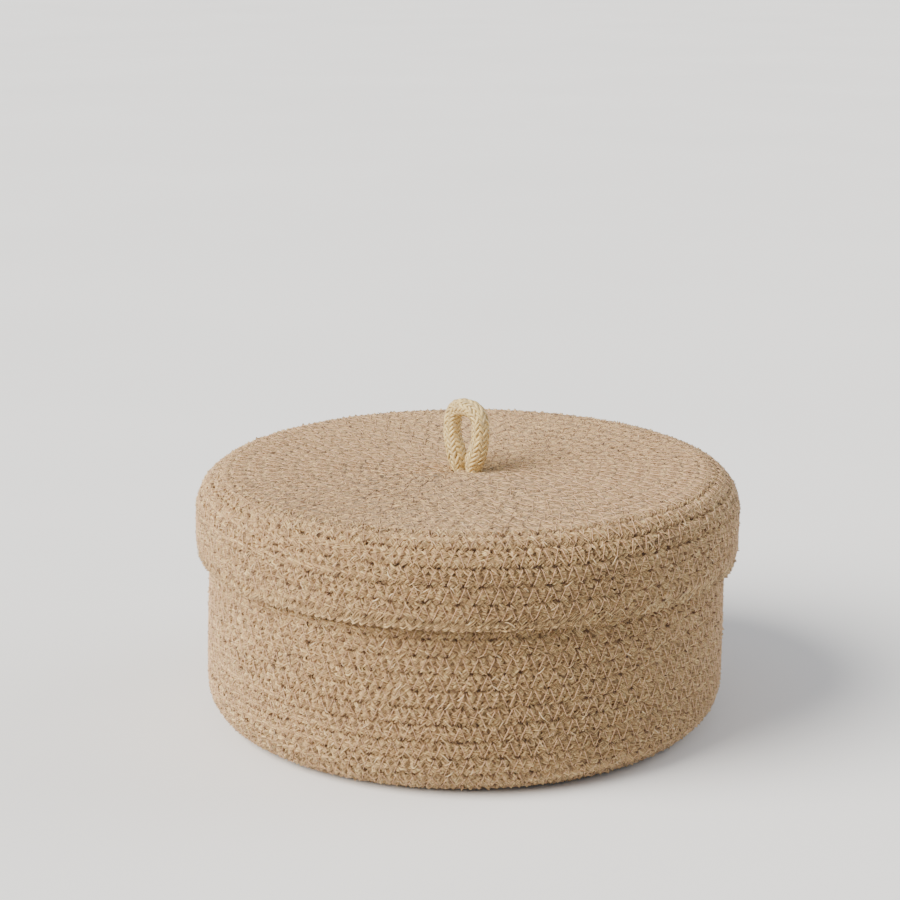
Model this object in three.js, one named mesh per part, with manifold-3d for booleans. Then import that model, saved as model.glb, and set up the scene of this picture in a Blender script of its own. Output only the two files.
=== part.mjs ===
// Lidded basket wound from one flat jute plait, with a cap lid and a cord loop for a handle.
// Millimetres, +Z up. The origin is the middle of the base, on the surface that it stands on.
// The cord loop stands in the XZ plane, over the centre of the lid.

import * as THREE from "three";
import { mergeVertices } from "three/addons/utils/BufferGeometryUtils.js";
import Module from "manifold-3d";

// Plait, sewn edge to edge in a spiral
const PLAIT_WIDTH = 7.2; // from one seam to the next
const PLAIT_THICKNESS = 4.4; // at the crown of a course
const SEAM_THICKNESS = 2.2; // where two courses meet
const CROWN_SHARE = 0.5; // share of a base course that is flat
const STEPS_PER_TURN = 32;
const TAPER_LENGTH = 110; // the last stretch of plait narrows so that the edge runs out
const TAPER_WIDTH = 2.4; // width of the plait at its very end
const PLAIT_END_ANGLE = 135; // degrees, where the basket's and the lid's plait end

// Basket
const WALL_RADIUS = 115.2; // outside, at the belly
const RIM_DRAW_IN = 2.8; // the rim, under the lid, is this much nearer the middle
const BASKET_HEIGHT = 104.4; // to the top of the last course
const BASE_CORNER_RADIUS = 17; // outside
const WALL_BELLY_HEIGHT = 60; // up to here the wall stays near its full radius

// Lid
const LID_EASE = 0.4; // between the wall's full radius and the inside of the skirt
const LID_DEPTH = 40.6; // from the top of the shoulder to the end of the plait
const LID_SHOULDER_RADIUS = 16.6; // outside
const LID_DISH = 2; // how far the middle of the top sinks
const HEM_TURN_IN = 0.8; // how far the hem leans towards the wall
const HEM_TURN_HEIGHT = 9;

// Handle, one cord with both ends through a slot in the lid
const CORD_DIAMETER = 7.8;
const LOOP_HEIGHT = 31.4; // above the middle of the lid
const LOOP_WIDTH = 16.8; // between the cord's centres, where the loop is widest
const LOOP_ROOT_SPACING = 9.2; // between the cord's centres, at the lid
const LOOP_WIDEST_SHARE = 0.6; // height of the widest place, as a share of the loop
const LOOP_AXIS_HEIGHT = 1.2; // the cord bends over this far above the lid
const LEG_LOW = 0.23; // share of that height at which a leg turns outwards
const LEG_HIGH = 0.52; // share of that height at which it is upright again
const TOP_ROUNDNESS = 0.78; // 0.55 would make the loop's top half an ellipse
const KNOT_WRAPS = 2;
const WRAP_BITE = 0.4; // how far a wrap presses into the ends inside it
const ENDS_SQUEEZE = 1; // how far the knot draws each end towards the other
const TAIL_LENGTH = 7.5; // each end hangs this far out of the knot

// Clearances
const PIECE_GAP = 0.3; // between pieces that touch
const LID_SEAT_GAP = 0.45; // between the rim and the inside of the lid's shoulder
const SLOT_CLEARANCE = 0.45; // round the cord, in the lid

// Facets
const SLOT_SEGMENTS = 8; // in a quarter turn
const CORD_SIDES = 10;
const LOOP_STEPS = 26;
const WRAP_SIDES = 8;
const WRAP_STEPS = 18; // in a turn
const ROOT_RINGS = 6;

const JUTE = { color: 0xb59a78, roughness: 0.95, metalness: 0 };
const COTTON = { color: 0xd9cdaa, roughness: 0.85, metalness: 0 };

const wasm = await Module();
wasm.setup();

const lidRadius = WALL_RADIUS + LID_EASE + PLAIT_THICKNESS; // outside of the skirt

const radians = THREE.MathUtils.degToRad;
const lerp = THREE.MathUtils.lerp;

// Solids

function bufferGeometry(positions, triangles) {
  const geometry = new THREE.BufferGeometry();
  geometry.setAttribute("position", new THREE.Float32BufferAttribute(positions, 3));
  geometry.setIndex(triangles);
  return geometry;
}

function toSolid(geometry) {
  const bare = geometry.clone();
  bare.deleteAttribute("normal");
  bare.deleteAttribute("uv");
  const merged = mergeVertices(bare);
  const mesh = new wasm.Mesh({
    numProp: 3,
    vertProperties: new Float32Array(merged.attributes.position.array),
    triVerts: new Uint32Array(merged.index.array),
  });
  return new wasm.Manifold(mesh);
}

function fromSolid(solid) {
  const mesh = solid.getMesh();
  return bufferGeometry(Array.from(mesh.vertProperties), Array.from(mesh.triVerts));
}

function join(geometries) {
  const solids = geometries.map(toSolid);
  return fromSolid(solids.reduce((whole, next) => whole.add(next)));
}

function piece(name, geometry, look) {
  const mesh = new THREE.Mesh(geometry, new THREE.MeshStandardMaterial(look));
  mesh.name = name;
  geometry.computeVertexNormals();
  return mesh;
}

// The plait's route. A meridian is a path in (radius, height), in the middle of the plait's
// thickness, and the courses climb along it by one width a turn.

function basketMeridian() {
  const half = PLAIT_THICKNESS / 2;
  const cornerRadius = BASE_CORNER_RADIUS - half;
  const flatRadius = WALL_RADIUS - BASE_CORNER_RADIUS;
  const wallRadius = WALL_RADIUS - half;
  const path = new THREE.Path();
  path.moveTo(0, half);
  path.lineTo(flatRadius, half);
  path.absarc(flatRadius, BASE_CORNER_RADIUS, cornerRadius, -Math.PI / 2, 0, false);
  path.quadraticCurveTo(wallRadius, WALL_BELLY_HEIGHT, wallRadius - RIM_DRAW_IN, BASKET_HEIGHT);
  return path;
}

function lidMeridian(top) {
  const half = PLAIT_THICKNESS / 2;
  const shoulder = LID_SHOULDER_RADIUS - half;
  const flatRadius = lidRadius - LID_SHOULDER_RADIUS;
  const skirtRadius = lidRadius - half;
  const crown = top - half;
  const hem = top - LID_DEPTH;
  const path = new THREE.Path();
  path.moveTo(0, crown - LID_DISH);
  path.bezierCurveTo(0.4 * flatRadius, crown - LID_DISH, 0.6 * flatRadius, crown, flatRadius, crown);
  path.absarc(flatRadius, top - LID_SHOULDER_RADIUS, shoulder, Math.PI / 2, 0, true);
  path.lineTo(skirtRadius, hem + HEM_TURN_HEIGHT);
  path.quadraticCurveTo(skirtRadius, hem + HEM_TURN_HEIGHT / 2, skirtRadius - HEM_TURN_IN, hem);
  return path;
}

// A spiral of plait along a meridian. Edge number m is the seam's point m steps from the
// centre, and the course that starts there reaches to edge number m + STEPS_PER_TURN.

class PlaitSpiral {
  // outward is 1 where the meridian's outside lies to the right of its travel, or -1
  constructor(meridian, outward) {
    this.meridian = meridian;
    this.outward = outward;
    this.length = meridian.getLength();
    const steps = Math.round((this.length / PLAIT_WIDTH) * STEPS_PER_TURN);
    this.lastStep = steps - STEPS_PER_TURN;
    this.width = (this.length / steps) * STEPS_PER_TURN;
    const endRadius = meridian.getPointAt(1).x;
    const stepLength = (2 * Math.PI * endRadius) / STEPS_PER_TURN;
    this.taperSteps = Math.round(TAPER_LENGTH / stepLength);
  }

  angle(m) {
    return radians(PLAIT_END_ANGLE) + (2 * Math.PI * (m - this.lastStep)) / STEPS_PER_TURN;
  }

  // distance of an edge from the centre, along the meridian
  edgeDistance(m) {
    const even = (this.width * m) / STEPS_PER_TURN;
    const taper = (m - (this.lastStep + STEPS_PER_TURN - this.taperSteps)) / this.taperSteps;
    const lost = Math.max(taper, 0) ** 2 * (this.width - TAPER_WIDTH);
    return Math.max(even, 0) - lost;
  }

  // a point at a distance along the meridian, lifted off it towards the outside
  point(distance, lift, angle) {
    const share = THREE.MathUtils.clamp(distance / this.length, 0, 1);
    const at = this.meridian.getPointAt(share);
    const along = this.meridian.getTangentAt(share);
    const radius = Math.max(at.x + this.outward * along.y * lift, 0);
    const height = at.y - this.outward * along.x * lift;
    return new THREE.Vector3(radius * Math.cos(angle), radius * Math.sin(angle), height);
  }

  // how far from the centre the free edge reaches, before the plait tapers
  freeEdgeDistance() {
    return this.edgeDistance(this.lastStep + STEPS_PER_TURN - this.taperSteps);
  }
}

// One run of a spiral's courses, from step first to step last, as a closed solid. A crown is
// a list of the shares of the course's width at which that side is at full thickness.

function plaitRun(spiral, first, last, outerCrown, innerCrown) {
  const turn = STEPS_PER_TURN;
  const fromCentre = first <= 0;
  const start = fromCentre ? -turn : first;
  const toEnd = last >= spiral.lastStep;
  const halfGap = PIECE_GAP / 2;

  // The run keeps half a gap to the courses before it and after it
  const edge = (m) => {
    let distance = spiral.edgeDistance(m);
    if (!fromCentre && m <= first + turn) distance += halfGap;
    if (!toEnd && m >= last) distance -= halfGap;
    return distance;
  };
  const sectionAngle = (m) => {
    const arm = Math.max(spiral.point(edge(m + turn), 0, 0).x, PLAIT_WIDTH);
    let angle = spiral.angle(m);
    if (!fromCentre && m === first) angle += halfGap / arm;
    if (!toEnd && m === last) angle -= halfGap / arm;
    return angle;
  };

  // The points round the section at step m: out along the outside, and back along the inside
  const section = (m) => {
    const near = edge(m);
    const far = edge(m + turn);
    const full = Math.min((far - near) / spiral.width, 1);
    const crown = lerp(SEAM_THICKNESS, PLAIT_THICKNESS, full) / 2;
    const seam = SEAM_THICKNESS / 2;
    const angle = sectionAngle(m);
    // a seam point belongs to two courses, so it takes its angle from its own edge number
    const nearAngle = m - turn >= start ? sectionAngle(m - turn) : angle;
    const points = [spiral.point(near, seam, nearAngle)];
    for (const share of outerCrown) {
      points.push(spiral.point(lerp(near, far, share), crown, angle));
    }
    points.push(spiral.point(far, seam, angle));
    points.push(spiral.point(far, -seam, angle));
    for (const share of [...innerCrown].reverse()) {
      points.push(spiral.point(lerp(near, far, share), -crown, angle));
    }
    points.push(spiral.point(near, -seam, nearAngle));
    return points;
  };

  const count = outerCrown.length + innerCrown.length + 4;
  const farSide = outerCrown.length + 1;
  const positions = [];
  for (let m = start; m <= last; m++) {
    for (const p of section(m)) positions.push(p.x, p.y, p.z);
  }

  const triangles = [];
  for (let m = start; m < last; m++) {
    const here = (m - start) * count;
    const next = here + count;
    for (let j = 0; j < count; j++) {
      const k = (j + 1) % count;
      const isFarEdge = j === farSide;
      const isNearEdge = j === count - 1;
      // the next turn's course covers the far edge, and the last turn's the near edge
      if (isFarEdge && m + turn < last) continue;
      if (isNearEdge && m - turn >= start) continue;
      triangles.push(here + j, next + j, next + k);
      triangles.push(here + j, next + k, here + k);
    }
  }
  const endSection = (last - start) * count;
  for (let j = 1; j < count - 1; j++) {
    if (!fromCentre) triangles.push(0, j, j + 1);
    triangles.push(endSection, endSection + j + 1, endSection + j);
  }
  if (spiral.outward < 0) triangles.reverse();
  return withoutSlivers(mergeVertices(bufferGeometry(positions, triangles), 1e-3));
}

// Leaves out the triangles whose corners merged, as at the spiral's centre
function withoutSlivers(geometry) {
  const index = geometry.index.array;
  const kept = [];
  for (let i = 0; i < index.length; i += 3) {
    const [a, b, c] = [index[i], index[i + 1], index[i + 2]];
    if (a !== b && b !== c && c !== a) kept.push(a, b, c);
  }
  geometry.setIndex(kept);
  return geometry;
}

// Basket

const FLAT_CROWN = [(1 - CROWN_SHARE) / 2, (1 + CROWN_SHARE) / 2];
const ROUND_CROWN = [0.5];

// The last step whose whole course lies within a distance from the centre, along the meridian
function stepsWithin(spiral, distance) {
  const courses = distance / spiral.width - 1;
  return Math.floor(courses * STEPS_PER_TURN);
}

const basket = new PlaitSpiral(basketMeridian(), 1);
const baseReach = WALL_RADIUS - BASE_CORNER_RADIUS;
const cornerReach = baseReach + (Math.PI / 2) * (BASE_CORNER_RADIUS - PLAIT_THICKNESS / 2);
const baseSteps = stepsWithin(basket, baseReach);
const cornerSteps = stepsWithin(basket, cornerReach);
const basketBase = plaitRun(basket, 0, baseSteps, FLAT_CROWN, []);
const basketCorner = plaitRun(basket, baseSteps, cornerSteps, ROUND_CROWN, ROUND_CROWN);
const basketWall = plaitRun(basket, cornerSteps, basket.lastStep, ROUND_CROWN, ROUND_CROWN);

// Lid. It sits with the inside of its shoulder, or of its top, on the rim's highest place.

function lidTopHeight() {
  const rim = basket.point(basket.freeEdgeDistance(), SEAM_THICKNESS / 2, 0);
  const inside = LID_SHOULDER_RADIUS - PLAIT_THICKNESS - LID_SEAT_GAP;
  const across = Math.max(rim.x - (lidRadius - LID_SHOULDER_RADIUS), 0);
  const shoulderCentre = rim.z - Math.sqrt(inside ** 2 - across ** 2);
  return shoulderCentre + LID_SHOULDER_RADIUS;
}

const lidTop = lidTopHeight();
const lid = new PlaitSpiral(lidMeridian(lidTop), -1);
const topSteps = stepsWithin(lid, lidRadius - LID_SHOULDER_RADIUS);
const lidMiddle = lidTop - LID_DISH;

// The slot that the cord's two ends go through
function slot() {
  const reach = LOOP_ROOT_SPACING / 2;
  const radius = CORD_DIAMETER / 2 + SLOT_CLEARANCE;
  const outline = new THREE.Shape();
  outline.absarc(reach, 0, radius, -Math.PI / 2, Math.PI / 2, false);
  outline.absarc(-reach, 0, radius, Math.PI / 2, (3 * Math.PI) / 2, false);
  outline.closePath();
  const depth = 3 * PLAIT_THICKNESS;
  const geometry = new THREE.ExtrudeGeometry(outline, {
    depth,
    bevelEnabled: false,
    curveSegments: SLOT_SEGMENTS,
  });
  geometry.translate(0, 0, lidMiddle - 2 * PLAIT_THICKNESS);
  return geometry;
}

const lidTopDisc = plaitRun(lid, 0, topSteps, ROUND_CROWN, ROUND_CROWN);
const slottedTop = fromSolid(toSolid(lidTopDisc).subtract(toSolid(slot())));
const lidSkirt = plaitRun(lid, topSteps, lid.lastStep, ROUND_CROWN, ROUND_CROWN);

// Handle

const cordRadius = CORD_DIAMETER / 2;
const loopAxis = lidMiddle + LOOP_AXIS_HEIGHT;

// A round cord along a curve
function cord(curve, steps, sides) {
  const circle = new THREE.Shape();
  for (let i = 0; i < sides; i++) {
    const a = (2 * Math.PI * i) / sides;
    const place = [cordRadius * Math.cos(a), cordRadius * Math.sin(a)];
    if (i === 0) circle.moveTo(...place);
    else circle.lineTo(...place);
  }
  circle.closePath();
  return new THREE.ExtrudeGeometry(circle, { steps, extrudePath: curve, bevelEnabled: false });
}

// The loop's centreline: two legs that spread as they rise, and a round top
function loopCurve() {
  const root = LOOP_ROOT_SPACING / 2;
  const wide = LOOP_WIDTH / 2;
  const rise = LOOP_HEIGHT - LOOP_AXIS_HEIGHT - cordRadius;
  const waist = rise * LOOP_WIDEST_SHARE;
  const round = TOP_ROUNDNESS * (rise - waist);
  const at = (x, h) => new THREE.Vector3(x, 0, loopAxis + h);
  const side = (s) => [
    [at(s * root, 0), at(s * root, LEG_LOW * waist), at(s * wide, LEG_HIGH * waist)],
    [at(s * wide, waist), at(s * wide, waist + round), at(s * TOP_ROUNDNESS * wide, rise)],
  ];
  const top = at(0, rise);
  const [leftLeg, leftTop] = side(-1);
  const [rightLeg, rightTop] = side(1);
  const path = new THREE.CurvePath();
  path.add(new THREE.CubicBezierCurve3(...leftLeg, leftTop[0]));
  path.add(new THREE.CubicBezierCurve3(...leftTop, top));
  path.add(new THREE.CubicBezierCurve3(top, rightTop[2], rightTop[1], rightTop[0]));
  path.add(new THREE.CubicBezierCurve3(rightTop[0], rightLeg[2], rightLeg[1], rightLeg[0]));
  return path;
}

// The loop's roots are round, so that it can lean over in the slot
function handleLoop() {
  const roots = [-1, 1].map((s) => {
    const ball = new THREE.SphereGeometry(cordRadius, CORD_SIDES, ROOT_RINGS);
    ball.translate((s * LOOP_ROOT_SPACING) / 2, 0, loopAxis);
    return ball;
  });
  return join([cord(loopCurve(), LOOP_STEPS, CORD_SIDES), ...roots]);
}

// Winds round both ends of the cord, below the lid
class WrapCurve extends THREE.Curve {
  getPoint(t) {
    const spread = LOOP_ROOT_SPACING / 2 - ENDS_SQUEEZE;
    const around = CORD_DIAMETER - WRAP_BITE;
    const a = 2 * Math.PI * KNOT_WRAPS * t;
    const x = (spread + around) * Math.cos(a);
    const y = around * Math.sin(a);
    const depth = CORD_DIAMETER * KNOT_WRAPS * t;
    return new THREE.Vector3(x, y, knotTop() - cordRadius - depth);
  }
}

function knotTop() {
  return lidMiddle - PLAIT_THICKNESS - PIECE_GAP;
}

// The cord's two ends below the loop: through the slot, through the knot, and free tails
function handleKnot() {
  const top = loopAxis - cordRadius - PIECE_GAP;
  const bottom = knotTop() - CORD_DIAMETER * (KNOT_WRAPS + 1) - TAIL_LENGTH;
  const ends = [-1, 1].map((s) => {
    const x = (s * LOOP_ROOT_SPACING) / 2;
    const line = new THREE.LineCurve3(new THREE.Vector3(x, 0, top), new THREE.Vector3(x, 0, bottom));
    return cord(line, 1, CORD_SIDES);
  });
  return join([...ends, cord(new WrapCurve(), WRAP_STEPS * KNOT_WRAPS, WRAP_SIDES)]);
}

const model = new THREE.Group();
model.add(
  piece("basket_base", basketBase, JUTE),
  piece("basket_corner", basketCorner, JUTE),
  piece("basket_wall", basketWall, JUTE),
  piece("lid_top", slottedTop, JUTE),
  piece("lid_skirt", lidSkirt, JUTE),
  piece("handle_loop", handleLoop(), COTTON),
  piece("handle_knot", handleKnot(), COTTON),
);

export default model;
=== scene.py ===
"""A low round basket with a cap lid, both wound from flat jute plait and sewn with a zigzag
stitch, and a loop of braided cotton cord on the lid. Metres, +Z up, in the part's frame.
Lengths along, across and through the plait are worked out as whole arrays."""

import math
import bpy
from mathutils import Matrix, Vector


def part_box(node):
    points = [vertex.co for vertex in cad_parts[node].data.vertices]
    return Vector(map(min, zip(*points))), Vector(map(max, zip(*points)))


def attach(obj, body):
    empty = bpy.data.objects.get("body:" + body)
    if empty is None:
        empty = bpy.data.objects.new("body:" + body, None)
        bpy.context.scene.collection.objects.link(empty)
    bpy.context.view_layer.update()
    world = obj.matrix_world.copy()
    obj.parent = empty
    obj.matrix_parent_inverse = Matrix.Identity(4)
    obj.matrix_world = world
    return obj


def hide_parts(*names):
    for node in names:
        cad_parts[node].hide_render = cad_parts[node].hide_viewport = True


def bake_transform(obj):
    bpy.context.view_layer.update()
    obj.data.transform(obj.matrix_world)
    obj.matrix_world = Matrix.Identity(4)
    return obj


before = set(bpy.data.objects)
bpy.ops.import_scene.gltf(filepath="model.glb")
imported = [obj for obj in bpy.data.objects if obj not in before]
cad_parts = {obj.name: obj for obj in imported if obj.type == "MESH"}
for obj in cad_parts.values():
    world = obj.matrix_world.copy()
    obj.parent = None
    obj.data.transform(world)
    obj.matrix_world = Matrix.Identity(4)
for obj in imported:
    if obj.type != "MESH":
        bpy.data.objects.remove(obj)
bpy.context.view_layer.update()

from types import SimpleNamespace

import bpy
import numpy as np
from mathutils import Vector

MM = 0.001
rng = np.random.default_rng(7)

# Plait: five flat strands, each over one and under one
COURSE = 7.2 * MM  # from one seam to the next
THICKNESS = 4.4 * MM
STRANDS = 5
WAVE = 17.0 * MM  # length in which a strand comes back to the same edge
STRAND_WIDTH = 2.3 * MM
STRAND_THICKNESS = 1.6 * MM
TURN_SHARPNESS = 0.9  # of a strand at the plait's edges, where 1 is a zigzag
FREE_BULGE = 0.15  # of the arc in which it turns at the free edge
FREE_DRAWN_IN = 0.4  # share of EDGE_OVERLAP by which it stays back there
FREE_CALM = 0.7  # share of its sway that it loses there
FREE_WEAVE = 0.6  # share of its weave that is in longer arcs there
FREE_SLANT = 0.25  # of its yarns there, as height over breadth
RELIEF = 0.85  # share of the room over and under a strand that its weave takes up
SEWN_UP = 0.5 * MM  # the strands are drawn up beside the seams, which lie flush
EDGE_OVERLAP = 0.75 * MM  # each course presses this far into the next
RING_PHASES = (22.5, 67.5, 112.5, 157.5)  # degrees in each half wave
FIRST_RING = 4 * MM
YARNS = (-0.9 * MM, -0.3 * MM, 0.3 * MM, 0.9 * MM)  # in a strand, side by side
YARN_SECTION = ((0.5 * MM, -0.4 * MM), (0, 0.8 * MM), (-0.5 * MM, -0.4 * MM))
PRESSED = 0.25  # share of the weave's depth that is left on the lid's top
PRESSED_REACH = 0.7  # of a course, past the flat top, at which the pressing ends
PRESSED_SPREAD = 0.12  # how much wider a pressed strand is
PRESSED_CALM = 0.7  # share of the yarns' lift that pressing takes away
STEPS_PER_TURN = 32  # of the part's facets, which fix where the plait ends
SPIRAL_POINTS = 20000
END_ANGLE = math.radians(135)
TAPER = 110 * MM
END_WIDTH = 2.4 * MM
PIECE_LENGTH = 3.6  # metres of plait in one piece
LEAN = 2.1 * MM  # how far the lid's top stands off the base's middle
LEAN_TOWARDS = math.radians(43)
CORD_LEAN = 0.5  # share of the lean that is left on the cord

# Band inside the plait
CORE_STEP = 6 * MM
CORE_SEAM = 0.8 * MM  # half its thickness along the seams, and in the middle
CORE_MIDDLE = 0.3 * MM
CORE_LAP = 0.2 * MM  # how far it reaches past a seam
CORE_DRAWN_IN = 1.3 * MM  # from the free edge, over the next length of plait
CORE_DRAWN_OVER = 4 * MM

# Random wander: the length over which it changes, and how far it goes
STRAND_SWAY = (9 * MM, 0.2 * MM)
STRAND_LIFT = (4 * MM, 0.15 * MM)
STRAND_TONE = (20 * MM, 0.08)
YARN_SWAY = (5 * MM, 0.13 * MM)
YARN_LIFT = (2.5 * MM, 0.26 * MM)
YARN_SIZE = (5 * MM, 0.2)
YARN_TONE = (3.5 * MM, 0.38)
CARRIER_LIFT = (3 * MM, 0.11 * MM)
CARRIER_SWAY = (4 * MM, 0.05)  # radians round the cord
CARRIER_TONE = (5 * MM, 0.35)

# Metres between the places where neighbours take their grain from
YARN_SHIFT = 0.371
CARRIER_SHIFT = 0.217

# Loose fibres
FIBRES = 280  # on each metre of plait
FIBRE_END_ROOM = 8 * MM  # free of them at both ends of the plait
FIBRE_EDGE = 3.3 * MM  # how far from the middle of a course they lie
FIBRE_FREE_ROOM = 0.3 * MM  # kept to the free edge
FIBRE_SLANT = (30, 58)  # degrees from the plait's length, either way
FIBRE_LENGTH = (2.0 * MM, 5.0 * MM)
FIBRE_BREADTH = (0.08 * MM, 0.24 * MM)  # half of it
FIBRE_THICKNESS = 0.09 * MM
FIBRE_BEND = 0.4 * MM
FIBRE_SUNK = 0.45 * MM  # of its ends, under the plait's face
FIBRE_ARCH = 0.3 * MM  # the least height of its middle over its ends, and the spread
FIBRE_PROUD = 0.2 * MM
FIBRE_PRESSED = 0.5  # share of that height that pressing takes away

# Basket and lid, from the part's own nodes
WALL_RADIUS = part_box("basket_wall")[1][0]
RIM_DRAW_IN = 2.8 * MM
RIM_HEIGHT = 104.4 * MM
CORNER = 17 * MM
BELLY_HEIGHT = 60 * MM
LID_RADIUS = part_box("lid_skirt")[1][0]
LID_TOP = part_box("lid_skirt")[1][2]
LID_DEPTH = 40.6 * MM
SHOULDER = 16.6 * MM
DISH = 2.0 * MM
DISH_REACH = (0.4, 0.6)  # of the flat top's radius: its curve's two inner control points
HEM_TURN_IN = 0.8 * MM
HEM_TURN_HEIGHT = 9.0 * MM

# Zigzag stitch
STITCH = 6.7 * MM  # length of one zig and one zag
LEG = 0.83  # share of half a stitch that a leg runs, the rest is under the plait
LEG_SHARES = (0.0, 0.10, 0.90, 1.0)  # of its way, and its height over the plait's middle
LEG_HEIGHTS = (0.2 * MM, 2.2 * MM, 2.2 * MM, 0.2 * MM)
TIGHT_LEG = 0.12 * MM  # how much deeper one way of leg is drawn on the lid
FIRST_STITCH = 40 * MM
STITCH_SCATTER = 0.2 * MM
THREAD = 0.33 * MM
HOLE_ROW = 0.35 * MM  # from the middle of a course to its two rows of needle holes
HOLE_PUSH = 0.5 * MM  # how far the needle pushes a strand aside, and over what distance
HOLE_REACH = 0.9 * MM
HOLE_MIDDLE = 0.15 * MM  # within which the push changes sides
HOLE_SLIMNESS = 0.75  # its width over its length

# Cord and loop
CORD = 7.8 * MM
LOOP_HEIGHT = 31.4 * MM
LOOP_WIDTH = 16.8 * MM
ROOT_SPACING = 9.2 * MM
WIDEST_SHARE = 0.6
LEG_LOW = 0.23
LEG_HIGH = 0.52
TOP_ROUNDNESS = 0.78
AXIS_HEIGHT = 1.2 * MM
WRAPS = 2
WRAP_BITE = 0.4 * MM
ENDS_SQUEEZE = 1.0 * MM
TAIL = 7.5 * MM
GAP = 0.3 * MM
LID_MIDDLE = LID_TOP - DISH
LOOP_AXIS = LID_MIDDLE + AXIS_HEIGHT
KNOT_TOP = LID_MIDDLE - THICKNESS - GAP
BUNCH_HEIGHT = 7 * MM  # over the lid, where the cord is thickest
BUNCH = (0.16, 0.5)  # how much thicker it is there, and how far up and down this spreads
NECK = (0.1, 0.06)  # how much thinner it is at the lid, and the same

# Round braid
CARRIERS = 24  # strands
CARRIER_SIDES = 5
CARRIER_WIDTH = 1.52 * MM
CARRIER_THICKNESS = 0.95 * MM
BRAID_PITCH = 30 * MM
BRAID_RELIEF = 0.26 * MM
BRAID_INSET = 0.08 * MM
BRAID_STEP = 0.75 * MM
BRAID_CORE_SIDES = 12
BRAID_CORE_SUNK = 0.15 * MM

# Camera, fitted to the outline in the photograph
PHOTO_PIXELS = 900
FOCAL_PIXELS = 2239.6
CAMERA_AZIMUTH = 43.0
CAMERA_ELEVATION = 17.82
CAMERA_DISTANCE = 1.00656
CAMERA_TARGET_HEIGHT = 0.05586
CAMERA_PITCH = 14.413
CAMERA_YAW = -0.362
SENSOR_MM = 36

# Light: name, degrees from the camera, degrees up, softness in degrees, strength and colour
SUNS = (
    ("key", -65, 38, 44, 6.9, "#fffaf1"),
    ("rim", 105, 30, 40, 1.1, "#ffffff"),
)
GLOW_COLOUR, GLOW_STRENGTH = "#f4f8ff", 0.5
FLOOR_SIZE = 24
FLOOR_DROP = 0.2 * MM


# Meshes

ATTRIBUTES = (
    # shade: a random tone on yarns, fibres and the cord's strands, and painted shade on the two
    # cores, low where they lie deep between strands
    ("shade", "FLOAT", "value"),  # paler above one half and darker below it
    ("flat", "FLOAT", "value"),  # 1 where the plait is pressed flat
    ("stitch", "FLOAT_VECTOR", "vector"),  # where the point is among the needle holes
)


def grid_tubes(points, along):
    """Quads round each tube of points[tube, ring, side], and a fan on both ends.

    along[tube, ring] is the distance along the tube, kept as the first coordinate of the
    UV map, whose second goes from 0 to 1 round the tube."""
    tubes, rings, sides, _ = points.shape
    index = np.arange(tubes * rings * sides).reshape(tubes, rings, sides)
    after = np.roll(index, -1, axis=2)
    quads = np.stack([index[:, :-1], after[:, :-1], after[:, 1:], index[:, 1:]], -1)
    low = np.broadcast_to((np.arange(sides) / sides)[None, None], quads.shape[:3])
    high = low + 1 / sides
    near = np.broadcast_to(along[:, :-1, None], quads.shape[:3])
    far = np.broadcast_to(along[:, 1:, None], quads.shape[:3])
    here = np.arange(1, sides - 1)
    fan = np.stack([0 * here, here, here + 1], -1)
    start, end = index[:, 0][:, fan[:, [0, 2, 1]]], index[:, -1][:, fan]
    at_ends = np.repeat([along[:, 0], along[:, -1]], 3 * (sides - 2), axis=1).ravel()
    return {
        "points": points.reshape(-1, 3),
        "quads": quads.reshape(-1, 4),
        "uv": np.stack([near, low, near, high, far, high, far, low], -1).reshape(-1, 2),
        "caps": np.concatenate([start, end]).reshape(-1, 3),
        "cap_uv": np.stack([at_ends, np.full(len(at_ends), 0.5)], -1),
        "lanes": sides,
    }


def joined(shapes):
    """Several shapes of grid_tubes as one, with the texture lanes of the first."""
    first = np.cumsum([0] + [len(shape["points"]) for shape in shapes])
    moved = [{**s, "quads": s["quads"] + k, "caps": s["caps"] + k} for s, k in zip(shapes, first)]
    arrays = [key for key in shapes[0] if key != "lanes"]
    whole = {key: np.concatenate([shape[key] for shape in moved]) for key in arrays}
    return {**whole, "lanes": shapes[0]["lanes"]}


def texture_map(shape, margin=0.25, stretch=1.5):
    """UV places with room for every face of a shape: the tubes' walls lie unrolled in rows,
    one lane for each side, and the end caps follow them. The margin over and under a row is a
    share of a lane, and a face's place is stretch times as long as wide."""
    quads, caps, lanes = len(shape["quads"]), len(shape["caps"]), shape["lanes"]
    cell, lane = np.divmod(np.arange(quads + caps), lanes)
    tall = lanes + 2 * margin
    rows = math.ceil(math.sqrt(stretch * (cell[-1] + 1) / tall))
    columns = math.ceil((cell[-1] + 1) / rows)
    row, column = np.divmod(cell, columns)
    low, high = margin, 1 + margin
    u = (column[:, None] + [0, 0, 1, 1]) / columns
    v = (row[:, None] + (lane[:, None] + [low, high, high, low]) / tall) / rows
    corners = np.stack([u, v], -1)
    return np.concatenate([corners[:quads].reshape(-1, 2), corners[quads:, :3].reshape(-1, 2)])


def leaning(points, share):
    """The points moved sideways in proportion to their height, as a soft basket leans."""
    way = np.array([math.cos(LEAN_TOWARDS), math.sin(LEAN_TOWARDS), 0])
    return points + share * LEAN * points[:, 2:] / LID_TOP * way


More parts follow.
